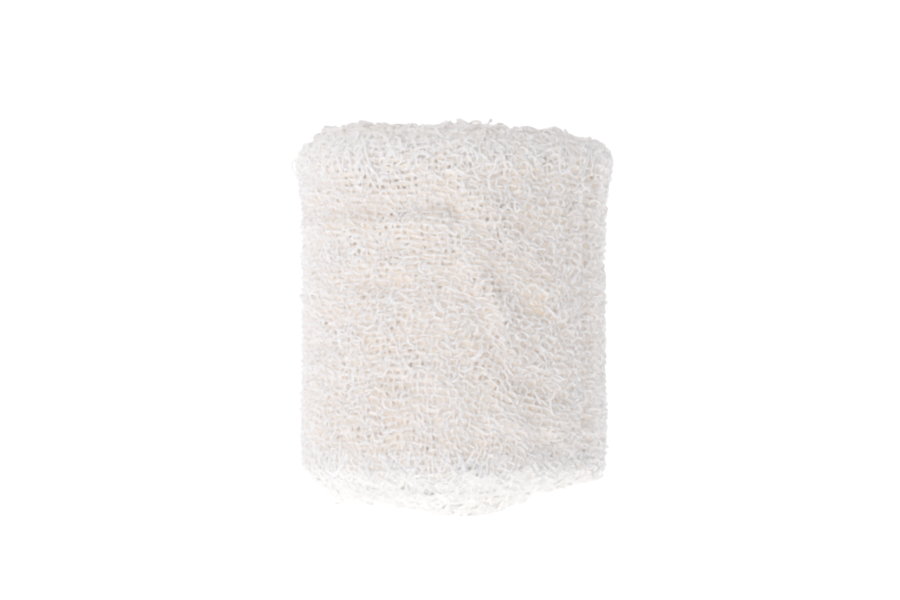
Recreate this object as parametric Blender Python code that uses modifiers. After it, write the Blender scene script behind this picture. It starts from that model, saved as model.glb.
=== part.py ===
"""A crepe bandage, wound up tight and standing on one end of the roll.

The roll is one long strip of stretchy cotton cloth, so it is one solid: the wound form with its
step where the cloth ends, the creases of its side and the broad turns of its two ends. Lengths
are in millimetres up to the last step. Angles are in degrees, counterclockwise from the front as
seen from above. The roll stands at the origin, with its axis along +Z.
"""

import math
from typing import NamedTuple

import bmesh
import bpy

MM = 0.001

# Driving sizes of the roll
WALL_RADIUS = 28.0
ROLL_HEIGHT = 72.0
CLOTH_THICKNESS = 1.3
CLOTH_END_ANGLE = 132.5
REST_RADIUS = 7.2

# The turns that stand out on the two ends
BROAD_TURN = 5.4
TOP_TURN_RISE = 0.6
BASE_TURN_RISE = 0.5

# How much an end rises inside its rim for each millimetre to the right
TOP_SLOPE = -0.03
BASE_SLOPE = 0.05

# Where one zone of the roll turns into the next: radii, then heights
SIDE_BLEND = (22.0, 27.0)
STEP_BLEND = (11.0, 24.0)
BASE_TURN_BLEND = (8.0, 15.0)
TOP_TURN_BLEND = (2.0, 5.0)
TOP_BLEND = (64.0, 70.0)
BASE_BLEND = (8.0, 13.0)

# The mesh
ANGLE_STEPS = 72
END_COLUMN_SHARE = 0.28


class SectionRow(NamedTuple):
    """A point of the roll's average section, and the number of mesh rows down to the next point."""

    radius: float
    height: float
    rows: int


class Fold(NamedTuple):
    """A crease, or a ridge if its rise is above zero, that runs straight over the roll's side."""

    from_angle: float
    from_height: float
    to_angle: float
    to_height: float
    width: float
    rise: float


class Lump(NamedTuple):
    """A soft hump, or a dip if its rise is below zero, on one end of the roll."""

    angle: float
    radius: float
    width: float
    rise: float


class Wave(NamedTuple):
    """An unevenness that runs round the roll, and leans by so many degrees a millimetre upwards."""

    count: int
    lean: float
    size: float
    start: float


SECTION = (
    SectionRow(radius=0.0, height=ROLL_HEIGHT - 0.5, rows=4),
    SectionRow(radius=9.0, height=ROLL_HEIGHT - 0.2, rows=5),
    SectionRow(radius=18.0, height=ROLL_HEIGHT - 0.3, rows=3),
    SectionRow(radius=23.2, height=ROLL_HEIGHT - 1.1, rows=2),
    SectionRow(radius=26.6, height=ROLL_HEIGHT - 2.4, rows=2),
    SectionRow(radius=28.7, height=ROLL_HEIGHT - 4.4, rows=1),
    SectionRow(radius=29.2, height=ROLL_HEIGHT - 6.2, rows=2),
    SectionRow(radius=28.8, height=ROLL_HEIGHT - 8.8, rows=2),
    SectionRow(radius=28.3, height=ROLL_HEIGHT - 11.8, rows=3),
    SectionRow(radius=WALL_RADIUS, height=57.0, rows=5),
    SectionRow(radius=WALL_RADIUS - 0.1, height=50.0, rows=9),
    SectionRow(radius=WALL_RADIUS - 0.1, height=32.0, rows=7),
    SectionRow(radius=WALL_RADIUS + 0.1, height=18.0, rows=4),
    SectionRow(radius=WALL_RADIUS - 0.1, height=11.2, rows=2),
    SectionRow(radius=WALL_RADIUS - 0.6, height=8.9, rows=1),
    SectionRow(radius=26.2, height=7.5, rows=2),
    SectionRow(radius=22.6, height=5.4, rows=3),
    SectionRow(radius=17.6, height=4.0, rows=3),
    SectionRow(radius=13.0, height=2.4, rows=2),
    SectionRow(radius=9.8, height=1.1, rows=2),
    SectionRow(radius=REST_RADIUS, height=0.0, rows=1),
    SectionRow(radius=REST_RADIUS / 2, height=0.0, rows=1),
    SectionRow(radius=0.0, height=0.0, rows=0),
)

FOLDS = (
    # The long crease across the front, with the ridge that lies under it
    Fold(from_angle=-80, from_height=55.4, to_angle=-55, to_height=54.6, width=1.3, rise=-0.7),
    Fold(from_angle=-55, from_height=54.6, to_angle=-28, to_height=55.3, width=1.3, rise=-0.75),
    Fold(from_angle=-28, from_height=55.3, to_angle=-8, to_height=55.8, width=1.3, rise=-0.75),
    Fold(from_angle=-8, from_height=55.8, to_angle=-3, to_height=57.0, width=1.5, rise=-0.6),
    Fold(from_angle=0, from_height=57.0, to_angle=2, to_height=55.2, width=1.9, rise=-0.65),
    Fold(from_angle=-60, from_height=52.4, to_angle=6, to_height=53.0, width=1.8, rise=0.4),
    # Shorter creases of the front's left half
    Fold(from_angle=-43, from_height=43.0, to_angle=-18, to_height=43.4, width=1.4, rise=-0.5),
    Fold(from_angle=-25, from_height=26.0, to_angle=-11, to_height=23.6, width=1.5, rise=-0.45),
    Fold(from_angle=-78, from_height=30.5, to_angle=-52, to_height=31.5, width=1.8, rise=-0.4),
    Fold(from_angle=0, from_height=45.0, to_angle=0, to_height=61.0, width=1.2, rise=-0.3),
    # Slanting creases and ridges of the front's right half
    Fold(from_angle=2, from_height=51.5, to_angle=18, to_height=38.3, width=2.4, rise=0.4),
    Fold(from_angle=18, from_height=38.3, to_angle=26, to_height=21.5, width=2.4, rise=0.35),
    Fold(from_angle=7, from_height=40.0, to_angle=38, to_height=12.6, width=2.0, rise=-0.4),
    Fold(from_angle=15, from_height=45.6, to_angle=20, to_height=43.0, width=2.2, rise=-0.55),
    Fold(from_angle=31, from_height=39.8, to_angle=36, to_height=37.4, width=2.0, rise=-0.5),
    Fold(from_angle=27, from_height=26.4, to_angle=34, to_height=24.0, width=2.2, rise=-0.5),
    Fold(from_angle=59, from_height=66.0, to_angle=58, to_height=13.0, width=1.5, rise=-0.4),
    Fold(from_angle=18, from_height=12.8, to_angle=78, to_height=12.2, width=1.5, rise=-0.45),
    # The side that is turned away
    Fold(from_angle=88, from_height=48.0, to_angle=120, to_height=45.0, width=1.8, rise=-0.6),
    Fold(from_angle=150, from_height=58.0, to_angle=205, to_height=54.5, width=1.6, rise=-0.7),
    Fold(from_angle=148, from_height=55.0, to_angle=200, to_height=51.6, width=2.0, rise=0.35),
    Fold(from_angle=160, from_height=33.0, to_angle=196, to_height=24.0, width=2.2, rise=-0.45),
    Fold(from_angle=212, from_height=42.0, to_angle=246, to_height=39.0, width=1.6, rise=-0.5),
    Fold(from_angle=225, from_height=20.0, to_angle=262, to_height=23.5, width=2.0, rise=-0.45),
)

TOP_LUMPS = (
    Lump(angle=-70, radius=20.0, width=6.0, rise=0.8),
    Lump(angle=8, radius=8.0, width=5.0, rise=0.9),
    Lump(angle=-40, radius=14.0, width=3.5, rise=-0.6),
    Lump(angle=66, radius=19.0, width=4.0, rise=0.7),
    Lump(angle=118, radius=14.0, width=5.0, rise=-0.5),
    Lump(angle=200, radius=16.0, width=6.0, rise=0.6),
    Lump(angle=0, radius=0.0, width=3.2, rise=-1.3),
)

BASE_LUMPS = (
    Lump(angle=-82, radius=21.0, width=4.5, rise=-0.5),
    Lump(angle=62, radius=19.0, width=4.5, rise=0.6),
    Lump(angle=84, radius=27.0, width=4.0, rise=-0.5),
    Lump(angle=170, radius=21.0, width=6.0, rise=0.5),
    Lump(angle=235, radius=17.0, width=5.0, rise=-0.4),
)

WALL_WAVES = (
    Wave(count=3, lean=1.5, size=0.13, start=20),
    Wave(count=7, lean=-2.2, size=0.1, start=140),
    Wave(count=13, lean=4.0, size=0.07, start=75),
)

RIM_WAVES = (
    Wave(count=4, lean=0.0, size=0.22, start=60),
    Wave(count=9, lean=0.0, size=0.2, start=10),
    Wave(count=15, lean=0.0, size=0.14, start=200),
)


def clear_scene():
    """Removes the objects that the scene starts with."""
    for obj in list(bpy.data.objects):
        bpy.data.objects.remove(obj, do_unlink=True)


def smooth_step(value, low, high):
    """Goes from 0 at low to 1 at high without a corner."""
    share = min(max((value - low) / (high - low), 0.0), 1.0)
    return share * share * (3 - 2 * share)


def curve_value(before, start, end, after, share):
    """The height of a smooth curve through start and end, at that share of the way between them."""
    slope_in = (end - before) / 2
    slope_out = (after - start) / 2
    square, cube = share**2, share**3
    return (
        (2 * cube - 3 * square + 1) * start
        + (cube - 2 * square + share) * slope_in
        + (3 * square - 2 * cube) * end
        + (cube - square) * slope_out
    )


def section_points():
    """The average section as (radius, height), from the middle of the top to that of the base."""
    points = []
    last = len(SECTION) - 1
    for i, row in enumerate(SECTION[:-1]):
        near = [SECTION[min(max(j, 0), last)] for j in (i - 1, i, i + 1, i + 2)]
        for step in range(row.rows):
            share = step / row.rows
            radius = curve_value(*(r.radius for r in near), share)
            height = curve_value(*(r.height for r in near), share)
            rests = row.radius <= REST_RADIUS and row.height == 0.0
            points.append((max(radius, 0.0), 0.0 if rests else height))
    points.append((0.0, SECTION[-1].height))
    return points


def turn_share(angle):
    """How much of a turn the cloth has made at this angle, from 0 to 1 at the cloth's end."""
    return ((angle - CLOTH_END_ANGLE) % 360) / 360


def wave_rise(waves, angle, height):
    """The sum of some waves at a place on the roll."""
    return sum(
        wave.size * math.sin(math.radians(wave.count * angle + wave.lean * height + wave.start))
        for wave in waves
    )


def fold_rise(angle, height):
    """How far the creases and ridges move the side in or out at a place."""
    degree = math.radians(WALL_RADIUS)
    rise = 0.0
    for fold in FOLDS:
        around = (angle - fold.from_angle + 180) % 360 - 180
        along, up = (fold.to_angle - fold.from_angle) * degree, fold.to_height - fold.from_height
        x, y = around * degree, height - fold.from_height
        share = min(max((x * along + y * up) / (along**2 + up**2), 0.0), 1.0)
        distance = math.hypot(x - share * along, y - share * up)
        rise += fold.rise * math.exp(-((distance / fold.width) ** 2))
    return rise


def lump_rise(lumps, angle, radius):
    """How far the humps and dips of an end lift it at a place."""
    x, y = radius * math.sin(math.radians(angle)), radius * math.cos(math.radians(angle))
    rise = 0.0
    for lump in lumps:
        away = math.hypot(
            x - lump.radius * math.sin(math.radians(lump.angle)),
            y - lump.radius * math.cos(math.radians(lump.angle)),
        )
        rise += lump.rise * math.exp(-((away / lump.width) ** 2))
    return rise


def broad_turn(angle, radius):
    """From -1 in the valley between two broad turns of an end to 1 on a turn's crest."""
    return math.cos(math.tau * (radius / BROAD_TURN - turn_share(angle)))


def wound_place(radius, angle, height):
    """Where a point of the average roll lies on the real, uneven one, as (radius, height)."""
    side = smooth_step(radius, *SIDE_BLEND)
    wound = CLOTH_THICKNESS * (turn_share(angle) - 0.5) * smooth_step(radius, *STEP_BLEND)
    moved = wound + side * (fold_rise(angle, height) + wave_rise(WALL_WAVES, angle, height))
    top = smooth_step(height, *TOP_BLEND)
    base = (1 - smooth_step(height, *BASE_BLEND)) * smooth_step(radius, *BASE_TURN_BLEND)
    turns = broad_turn(angle, radius) * (1 - side)
    across = radius * math.sin(math.radians(angle)) * (1 - side)
    lift = top * (
        TOP_TURN_RISE * turns * smooth_step(radius, *TOP_TURN_BLEND)
        + TOP_SLOPE * across
        + lump_rise(TOP_LUMPS, angle, radius)
        + side * wave_rise(RIM_WAVES, angle, height)
    )
    lift += base * (
        BASE_TURN_RISE * turns
        + BASE_SLOPE * across
        + lump_rise(BASE_LUMPS, angle, radius)
        - side * wave_rise(RIM_WAVES, angle, height)
    )
    return radius + moved, height + lift


def drawn_angle(angle):
    """The mesh's angle with the two columns beside the cloth's end drawn up to it."""
    offset = (angle - CLOTH_END_ANGLE + 180) % 360 - 180
    if abs(offset) < 360 / ANGLE_STEPS:
        return CLOTH_END_ANGLE + offset * END_COLUMN_SHARE
    return angle


def cotton_material():
    """Bleached cotton, undyed and matt."""
    material = bpy.data.materials.new("cotton_crepe")
    material.use_nodes = True
    shader = material.node_tree.nodes["Principled BSDF"]
    shader.inputs["Base Color"].default_value = (0.80, 0.76, 0.73, 1.0)
    shader.inputs["Roughness"].default_value = 0.95
    shader.inputs["Metallic"].default_value = 0.0
    material.diffuse_color = (0.80, 0.76, 0.73, 1.0)
    return material


def turned_mesh():
    """The average section, turned about the roll's axis with a Screw modifier."""
    points = section_points()
    profile = bpy.data.meshes.new("roll_section")
    vertices = [(radius * MM, 0.0, height * MM) for radius, height in points]
    profile.from_pydata(vertices, [(i, i + 1) for i in range(len(vertices) - 1)], [])
    turned = bpy.data.objects.new("roll_section", profile)
    bpy.context.scene.collection.objects.link(turned)
    screw = turned.modifiers.new("turn", "SCREW")
    screw.axis = "Z"
    screw.steps = ANGLE_STEPS
    screw.render_steps = ANGLE_STEPS
    screw.use_merge_vertices = True
    screw.merge_threshold = 0.00001
    graph = bpy.context.evaluated_depsgraph_get()
    mesh = bpy.data.meshes.new_from_object(turned.evaluated_get(graph))
    bpy.data.objects.remove(turned, do_unlink=True)
    return mesh


def wind_up(mesh):
    """Moves the turned roll's points to where the wound cloth has them."""
    shape = bmesh.new()
    shape.from_mesh(mesh)
    for vertex in shape.verts:
        x, y, z = vertex.co / MM
        angle = drawn_angle(math.degrees(math.atan2(x, -y)))
        radius, height = wound_place(math.hypot(x, y), angle, z)
        x, y = radius * math.sin(math.radians(angle)), -radius * math.cos(math.radians(angle))
        vertex.co = (x * MM, y * MM, height * MM)
    shape.to_mesh(mesh)
    shape.free()


def make_roll(collection, material):
    """The bandage: one solid with the wound form."""
    mesh = turned_mesh()
    mesh.name = "bandage_roll"
    wind_up(mesh)
    mesh.materials.clear()
    mesh.materials.append(material)
    mesh.shade_smooth()
    mesh.set_sharp_from_angle(angle=math.radians(50))
    roll = bpy.data.objects.new("bandage_roll", mesh)
    collection.objects.link(roll)
    return roll


def main():
    """Clears the scene and makes the bandage."""
    clear_scene()
    collection = bpy.data.collections.new("crepe_bandage")
    bpy.context.scene.collection.children.link(collection)
    make_roll(collection, cotton_material())


main()
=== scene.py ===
"""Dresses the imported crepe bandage: one strip of crinkled cotton cloth, wound into a roll.

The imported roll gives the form. The cloth is laid on it as it is made: the wound strip of the many
inner turns, nets of crinkled yarns for the outer turns, the loops of the edges that crowd both
ends, the long loops that hang at the lower rim, and the curls that stand off the side.

Lengths are in millimetres up to the last step, but the finishes' and the studio's are in metres.
Angles are in degrees, counterclockwise from the front as seen from above. A place on the unrolled
cloth is (x, y): x runs along the cloth, as an arc of the roll's mean radius, and y is the height.
"""

import logging
import math
from dataclasses import dataclass, field
from enum import Enum
from typing import Any

import bpy
import numpy as np
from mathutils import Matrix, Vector
from mathutils.bvhtree import BVHTree


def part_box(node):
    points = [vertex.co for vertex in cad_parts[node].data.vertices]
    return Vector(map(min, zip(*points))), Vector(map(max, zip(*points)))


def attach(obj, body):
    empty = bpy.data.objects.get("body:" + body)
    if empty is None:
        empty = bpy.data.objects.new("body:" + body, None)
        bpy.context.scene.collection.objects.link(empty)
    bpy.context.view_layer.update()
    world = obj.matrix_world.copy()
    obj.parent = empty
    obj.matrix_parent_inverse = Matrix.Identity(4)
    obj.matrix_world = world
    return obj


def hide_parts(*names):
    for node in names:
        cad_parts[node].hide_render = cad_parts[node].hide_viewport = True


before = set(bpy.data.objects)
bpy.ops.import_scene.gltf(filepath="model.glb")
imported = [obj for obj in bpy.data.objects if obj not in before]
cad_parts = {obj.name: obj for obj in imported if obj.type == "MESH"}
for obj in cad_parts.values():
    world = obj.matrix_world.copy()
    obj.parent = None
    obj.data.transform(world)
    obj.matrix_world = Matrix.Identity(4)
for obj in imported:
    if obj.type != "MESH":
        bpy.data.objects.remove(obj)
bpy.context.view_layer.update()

LOG = logging.getLogger("crepe_bandage")

MM = 0.001
ROLL_NODE = "bandage_roll"
BODY = "root"

# The roll's own sizes, as its maker would name them
MEAN_RADIUS = 28.0
TURN_PITCH = 1.3
CLOTH_END_ANGLE = 132.5
OUTER_RADIUS = MEAN_RADIUS + TURN_PITCH / 2
ROUND = math.tau * MEAN_RADIUS
YARN_RADIUS = 0.205
YARN_SIDES = 3
WARP_SPACING = 1.2
WEFT_SPACING = 1.12

# The roll's middle stretch, where the skin is met straight from the axis. Above and below it the
# skin is met along rays that fan out from the stretch's ends.
CORE_LOW = 14.0
CORE_HIGH = 60.0
REACH = 60.0

# The roll carries itself on a narrow spot. From there the loops under it rise to both sides.
STAND_X = 3.0
STAND_HALF_WIDTH = 2.0
STAND_SLOPE = 0.17
STAND_MOST = 1.3

# The least height of a yarn that follows the skin, and of a loop that stands on it
YARN_CLEARANCE = 0.2
LOOP_CLEARANCE = 0.05

# The name of the number that each point of the wound cloth keeps: how far it is from an edge, in mm
EDGE_DISTANCE = "edge_distance"

# What a socket takes: a Value, or a number, tuple or data block
SocketLike = Any

Color = tuple[float, float, float, float]


@dataclass(frozen=True)
class Fold:
    """A crease or ridge of the outer turn, which the yarns follow more sharply than the solid."""

    from_angle: float
    from_height: float
    to_angle: float
    to_height: float
    width: float
    rise: float


# Each fold's start, end, width and rise, in the order of Fold's fields
FOLDS = (
    Fold(-82, 56.7, -28, 56.5, 1.3, -0.5),
    Fold(-28, 56.5, -6, 57.2, 1.3, -0.1),
    Fold(-80, 54.1, -4, 54.5, 1.7, 1.15),
    Fold(0, 57.0, 2, 55.4, 1.6, -0.7),
    Fold(-43, 43.0, -18, 43.4, 1.3, -0.5),
    Fold(-25, 26.0, -11, 23.6, 1.4, -0.5),
    Fold(-78, 30.5, -52, 31.5, 1.6, -0.4),
    Fold(12, 58.0, 22, 51.0, 1.6, 0.5),
    Fold(2, 51.5, 18, 38.3, 2.0, 0.4),
    Fold(18, 38.3, 26, 21.5, 2.2, 0.2),
    Fold(7, 40.0, 38, 12.6, 1.8, -0.35),
    Fold(15, 45.6, 22, 39.0, 1.8, -0.5),
    Fold(31, 39.8, 44, 35.4, 1.8, -0.6),
    Fold(27, 26.4, 46, 22.5, 2.0, -0.7),
    Fold(10, 20.0, 6, 12.5, 1.4, -0.6),
    Fold(16, 17.2, 40, 16.6, 1.5, 0.6),
    Fold(41, 67.0, 43, 50.0, 1.2, 0.5),
    Fold(47, 67.0, 49, 40.0, 1.1, -0.5),
    Fold(53, 67.0, 54, 46.0, 1.1, 0.5),
    Fold(59, 66.0, 58, 13.0, 1.2, -0.6),
    Fold(66, 66.0, 66, 15.0, 1.3, 0.5),
    Fold(18, 12.4, 80, 11.8, 1.8, 0.35),
)


class Side(Enum):
    """One of the roll's two ends."""

    TOP = 1.0
    BASE = -1.0


class YarnWay(Enum):
    """Which way a family of yarns runs in the cloth."""

    WARP = 1.0
    WEFT = -1.0


class LoopForm(Enum):
    """The outline of a single loop of yarn that stands out on the roll."""

    ARCH = "arch"
    RING = "ring"
    HOOK = "hook"
    PEAK = "peak"


# The node graphs


class Value:
    """A node's output that adds Math nodes when it stands in a Python expression."""

    def __init__(self, graph: "Graph", socket: bpy.types.NodeSocket) -> None:
        """Keeps the graph and the socket."""
        self.graph = graph
        self.socket = socket

    def __add__(self, other: SocketLike) -> "Value":
        """The sum."""
        return self.graph.math("ADD", self, other)

    __radd__ = __add__

    def __sub__(self, other: SocketLike) -> "Value":
        """The difference."""
        return self.graph.math("SUBTRACT", self, other)

    def __rsub__(self, other: SocketLike) -> "Value":
        """The difference, where this value is taken away."""
        return self.graph.math("SUBTRACT", other, self)

    def __mul__(self, other: SocketLike) -> "Value":
        """The product."""
        return self.graph.math("MULTIPLY", self, other)

    __rmul__ = __mul__

    def __truediv__(self, other: SocketLike) -> "Value":
        """The quotient."""
        return self.graph.math("DIVIDE", self, other)

    def __rtruediv__(self, other: SocketLike) -> "Value":
        """The quotient, where this value divides."""
        return self.graph.math("DIVIDE", other, self)


class Graph:
    """A node tree, for a material or for geometry, that is written as Python expressions."""

    def __init__(self, tree: bpy.types.NodeTree) -> None:
        """Keeps the tree that the nodes go into."""
        self.tree = tree

    def feed(self, socket: bpy.types.NodeSocket, value: SocketLike) -> None:
        """Gives a socket a link or a plain value.

        Args:
            socket: The input to feed.
            value: A Value, which is linked, or a number, tuple or data block, which is set.
        """
        if isinstance(value, Value):
            self.tree.links.new(value.socket, socket)
        else:
            socket.default_value = value

    def node(
        self, kind: str, settings: dict[str, Any] | None = None, inputs: dict | None = None
    ) -> bpy.types.Node:
        """Adds a node.

        Args:
            kind: The node's type name.
            settings: The node's own properties, set before its sockets are fed.
            inputs: A value or link for each socket, by its name or its place.

        Returns:
            The new node.
        """
        made = self.tree.nodes.new(kind)
        for name, value in (settings or {}).items():
            if name == "stops":
                self.set_stops(made, value)
            else:
                setattr(made, name, value)
        for key, value in (inputs or {}).items():
            shown = [s for s in made.inputs if s.enabled]
            socket = made.inputs[key] if isinstance(key, int) else None
            socket = socket or next(s for s in shown if s.name == key)
            self.feed(socket, value)
        return made

    @staticmethod
    def set_stops(ramp: bpy.types.Node, stops: tuple[tuple[float, Color], ...]) -> None:
        """Gives a colour ramp its stops, as (place, colour) in rising order."""
        elements = ramp.color_ramp.elements
        while len(elements) < len(stops):
            elements.new(1.0)
        for element, (place, color) in zip(elements, stops):
            element.position = place
            element.color = color

    def value(
        self, kind: str, settings: dict | None = None, inputs: dict | None = None, output: int = 0
    ) -> Value:
        """Adds a node and gives one of its outputs, counted among those in use.

        Args:
            kind: The node's type name.
            settings: The node's own properties.
            inputs: A value or link for each socket.
            output: Which of the enabled outputs to give.

        Returns:
            The output, for use in expressions.
        """
        made = self.node(kind, settings, inputs)
        return Value(self, [s for s in made.outputs if s.enabled][output])

    def math(self, operation: str, *values: SocketLike) -> Value:
        """Adds a Math node on one to three values."""
        return self.value("ShaderNodeMath", {"operation": operation}, dict(enumerate(values)))

    def vector(self, operation: str, *values: SocketLike) -> Value:
        """Adds a Vector Math node on vectors."""
        return self.value("ShaderNodeVectorMath", {"operation": operation}, dict(enumerate(values)))

    def scaled(self, vector: SocketLike, scale: SocketLike) -> Value:
        """A vector times a number."""
        inputs = {"Vector": vector, "Scale": scale}
        return self.value("ShaderNodeVectorMath", {"operation": "SCALE"}, inputs)

    def clamped(self, value: SocketLike, low: float, high: float) -> Value:
        """A number that is held between two others."""
        return self.math("MINIMUM", self.math("MAXIMUM", value, low), high)

    def joined(self, x: SocketLike, y: SocketLike, z: SocketLike) -> Value:
        """A vector from its three parts."""
        return self.value("ShaderNodeCombineXYZ", None, {0: x, 1: y, 2: z})

    def parts(self, vector: Value) -> list[Value]:
        """The three parts of a vector."""
        split = self.node("ShaderNodeSeparateXYZ", None, {0: vector})
        return [Value(self, socket) for socket in split.outputs]

    def noise(self, place: Value, scale: float, detail: float = 0.0) -> tuple[Value, Value]:
        """Adds a noise texture.

        Args:
            place: Where on the noise to read.
            scale: How many of its lumps go to a unit of the place.
            detail: How many finer layers it has.

        Returns:
            The noise about 0 as a number, and about (0, 0, 0) as a vector.
        """
        inputs = {"Vector": place, "Scale": scale, "Detail": detail}
        made = self.node("ShaderNodeTexNoise", None, inputs)
        number, color = Value(self, made.outputs[0]), Value(self, made.outputs[1])
        return number - 0.5, self.vector("SUBTRACT", color, (0.5, 0.5, 0.5))

    def ramp(self, share: Value, *stops: tuple[float, Color]) -> Value:
        """A colour by a share, from stops of (share, colour)."""
        return self.value("ShaderNodeValToRGB", {"stops": stops}, {0: share})

    def mixed(self, share: Value, low: SocketLike, high: SocketLike) -> Value:
        """A colour between two others."""
        inputs = {"Factor": share, "A": low, "B": high}
        return self.value("ShaderNodeMix", {"data_type": "RGBA"}, inputs)

    def bump(self, height: Value, distance: float) -> Value:
        """A normal that follows small heights."""
        return self.value("ShaderNodeBump", None, {"Distance": distance, "Height": height})

    def object_place(self) -> Value:
        """The place on the object, for a material."""
        return Value(self, self.node("ShaderNodeTexCoord").outputs["Object"])

    def feed_shader(self, values: dict[str, SocketLike]) -> None:
        """Feeds the material's shader, by the names of its sockets."""
        for name, value in values.items():
            self.feed(self.tree.nodes["Principled BSDF"].inputs[name], value)


def added(name: str, data: bpy.types.ID) -> bpy.types.Object:
    """A new object in the scene."""
    made = bpy.data.objects.new(name, data)
    bpy.context.scene.collection.objects.link(made)
    return made


def plain_mesh(source: bpy.types.Object) -> bpy.types.Mesh:
    """The mesh of an object as its modifiers or its bevel leave it."""
    graph = bpy.context.evaluated_depsgraph_get()
    return bpy.data.meshes.new_from_object(source.evaluated_get(graph))


class MadeOnRoll(Graph):
    """A Geometry Nodes tree with named sizes, whose result becomes one plain mesh."""

    def __init__(self, name: str) -> None:
        """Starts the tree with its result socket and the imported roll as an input."""
        super().__init__(bpy.data.node_groups.new(name, "GeometryNodeTree"))
        self.tree.interface.new_socket(
            name="Geometry", in_out="OUTPUT", socket_type="NodeSocketGeometry"
        )
        self.name = name
        self.given: dict[str, Any] = {}
        self.entry = self.tree.nodes.new("NodeGroupInput")
        self.roll = self.named("Packed roll", "NodeSocketObject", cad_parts[ROLL_NODE])
        self.roll_shape = self.value(
            "GeometryNodeObjectInfo", {"transform_space": "ORIGINAL"}, {"Object": self.roll}, 4
        )

    def named(self, name: str, kind: str, value: Any) -> Value:
        """Adds a named input and notes what the modifier gives it.

        Args:
            name: The input's name.
            kind: Its socket type.
            value: What this piece gives it.

        Returns:
            The input, for use in expressions.
        """
        made = self.tree.interface.new_socket(name=name, in_out="INPUT", socket_type=kind)
        self.given[made.identifier] = value
        return Value(self, next(s for s in self.entry.outputs if s.name == name))

    def size(self, name: str, value: float) -> Value:
        """Adds a named size."""
        return self.named(name, "NodeSocketFloat", value)

    def count(self, name: str, value: int) -> Value:
        """Adds a named whole number."""
        return self.named(name, "NodeSocketInt", value)

    def random(self, low: float, high: float, index: Value, seed: SocketLike) -> Value:
        """A number between two others that stays the same for an index and a seed."""
        inputs = {"Min": low, "Max": high, "ID": index, "Seed": seed}
        return self.value("FunctionNodeRandomValue", {"data_type": "FLOAT"}, inputs)

    def place(self) -> Value:
        """Where each point is."""
        return self.value("GeometryNodeInputPosition")

    def moved(self, geometry: Value, place: Value) -> Value:
        """Geometry with its points put in new places."""
        inputs = {"Geometry": geometry, "Position": place}
        return self.value("GeometryNodeSetPosition", None, inputs)

    def line(self, begin: tuple, end: tuple, points: SocketLike) -> Value:
        """A straight line with evenly spaced points."""
        ends = {"Start": begin, "End": end}
        line = self.value("GeometryNodeCurvePrimitiveLine", {"mode": "POINTS"}, ends)
        return self.value("GeometryNodeResampleCurve", None, {"Curve": line, "Count": points})

    def row(self, count: Value, offset: tuple) -> Value:
        """Points in a row, each an offset further than the last."""
        inputs = {"Count": count, "Offset": offset}
        return self.value("GeometryNodeMeshLine", {"mode": "OFFSET"}, inputs)

    def laid(self, points: Value, shape: Value, turns: dict[str, Value] | None = None) -> Value:
        """Puts a shape on each point.

        Args:
            points: The points.
            shape: The shape to repeat.
            turns: The shape's Rotation and Scale at each point, if any.

        Returns:
            The shapes as real geometry.
        """
        inputs = {"Points": points, "Instance": shape, **(turns or {})}
        laid = self.value("GeometryNodeInstanceOnPoints", None, inputs)
        return self.value("GeometryNodeRealizeInstances", None, {"Geometry": laid})

    def scattered(self, points: Value, shape: Value, facing: Value, size: Value) -> Value:
        """Puts a shape on each point and lifts what would lie under the roll's stand.

        Args:
            points: The points.
            shape: The shape to repeat.
            facing: How it is turned at each point.
            size: How it is stretched at each point.

        Returns:
            The shapes as real geometry.
        """
        shapes = self.laid(points, shape, {"Rotation": facing, "Scale": size})
        return self.moved(shapes, self.above_floor(self.place(), LOOP_CLEARANCE))

    def met(self, start: Value, way: SocketLike, length: float) -> list[Value]:
        """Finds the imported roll's skin along a ray.

        Args:
            start: Where the ray starts.
            way: Where it points.
            length: How far it goes, in metres.

        Returns:
            The place and the facing of the skin there.
        """
        ray = {"Source Position": start, "Ray Direction": way, "Ray Length": length}
        inputs = {"Target Geometry": self.roll_shape, **ray}
        found = self.node("GeometryNodeRaycast", None, inputs)
        return [Value(self, found.outputs[name]) for name in ("Hit Position", "Hit Normal")]

    def on_skin(self, x: Value, y: Value, off: Value) -> Value:
        """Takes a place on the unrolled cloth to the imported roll's skin.

        Args:
            x: How far along the cloth, in mm.
            y: The height, in mm.
            off: How far outside the skin, in mm.

        Returns:
            The place in the frame, in metres, never under the roll's stand.
        """
        angle = x / MEAN_RADIUS
        core = self.clamped(y, CORE_LOW, CORE_HIGH)
        tilt = (y - core) / MEAN_RADIUS
        flat = self.math("COSINE", tilt)
        outward = self.joined(
            self.math("SINE", angle) * flat,
            self.math("COSINE", angle) * flat * -1.0,
            self.math("SINE", tilt),
        )
        middle = self.joined(0.0, 0.0, core * MM)
        source = self.vector("ADD", middle, self.scaled(outward, REACH * MM))
        hit, _ = self.met(source, self.scaled(outward, -1.0), REACH * MM)
        place = self.vector("ADD", hit, self.scaled(outward, off * MM))
        return self.above_floor(place, YARN_CLEARANCE)

    def fold_rise(self, x: Value, y: Value) -> Value:
        """How far the creases and ridges move the yarns in or out.

        Args:
            x: How far along the cloth, in mm.
            y: The height, in mm.

        Returns:
            The move, in mm.
        """
        rise: SocketLike = 0.0
        for fold in FOLDS:
            start = math.radians(fold.from_angle) * MEAN_RADIUS
            along = math.radians(fold.to_angle) * MEAN_RADIUS - start
            up = fold.to_height - fold.from_height
            dx, dy = x - start, y - fold.from_height
            share = self.clamped((dx * along + dy * up) / (along**2 + up**2), 0.0, 1.0)
            away_x, away_y = dx - share * along, dy - share * up
            far = (away_x * away_x + away_y * away_y) / -(fold.width**2)
            rise = self.math("EXPONENT", far) * fold.rise + rise
        return rise

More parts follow.
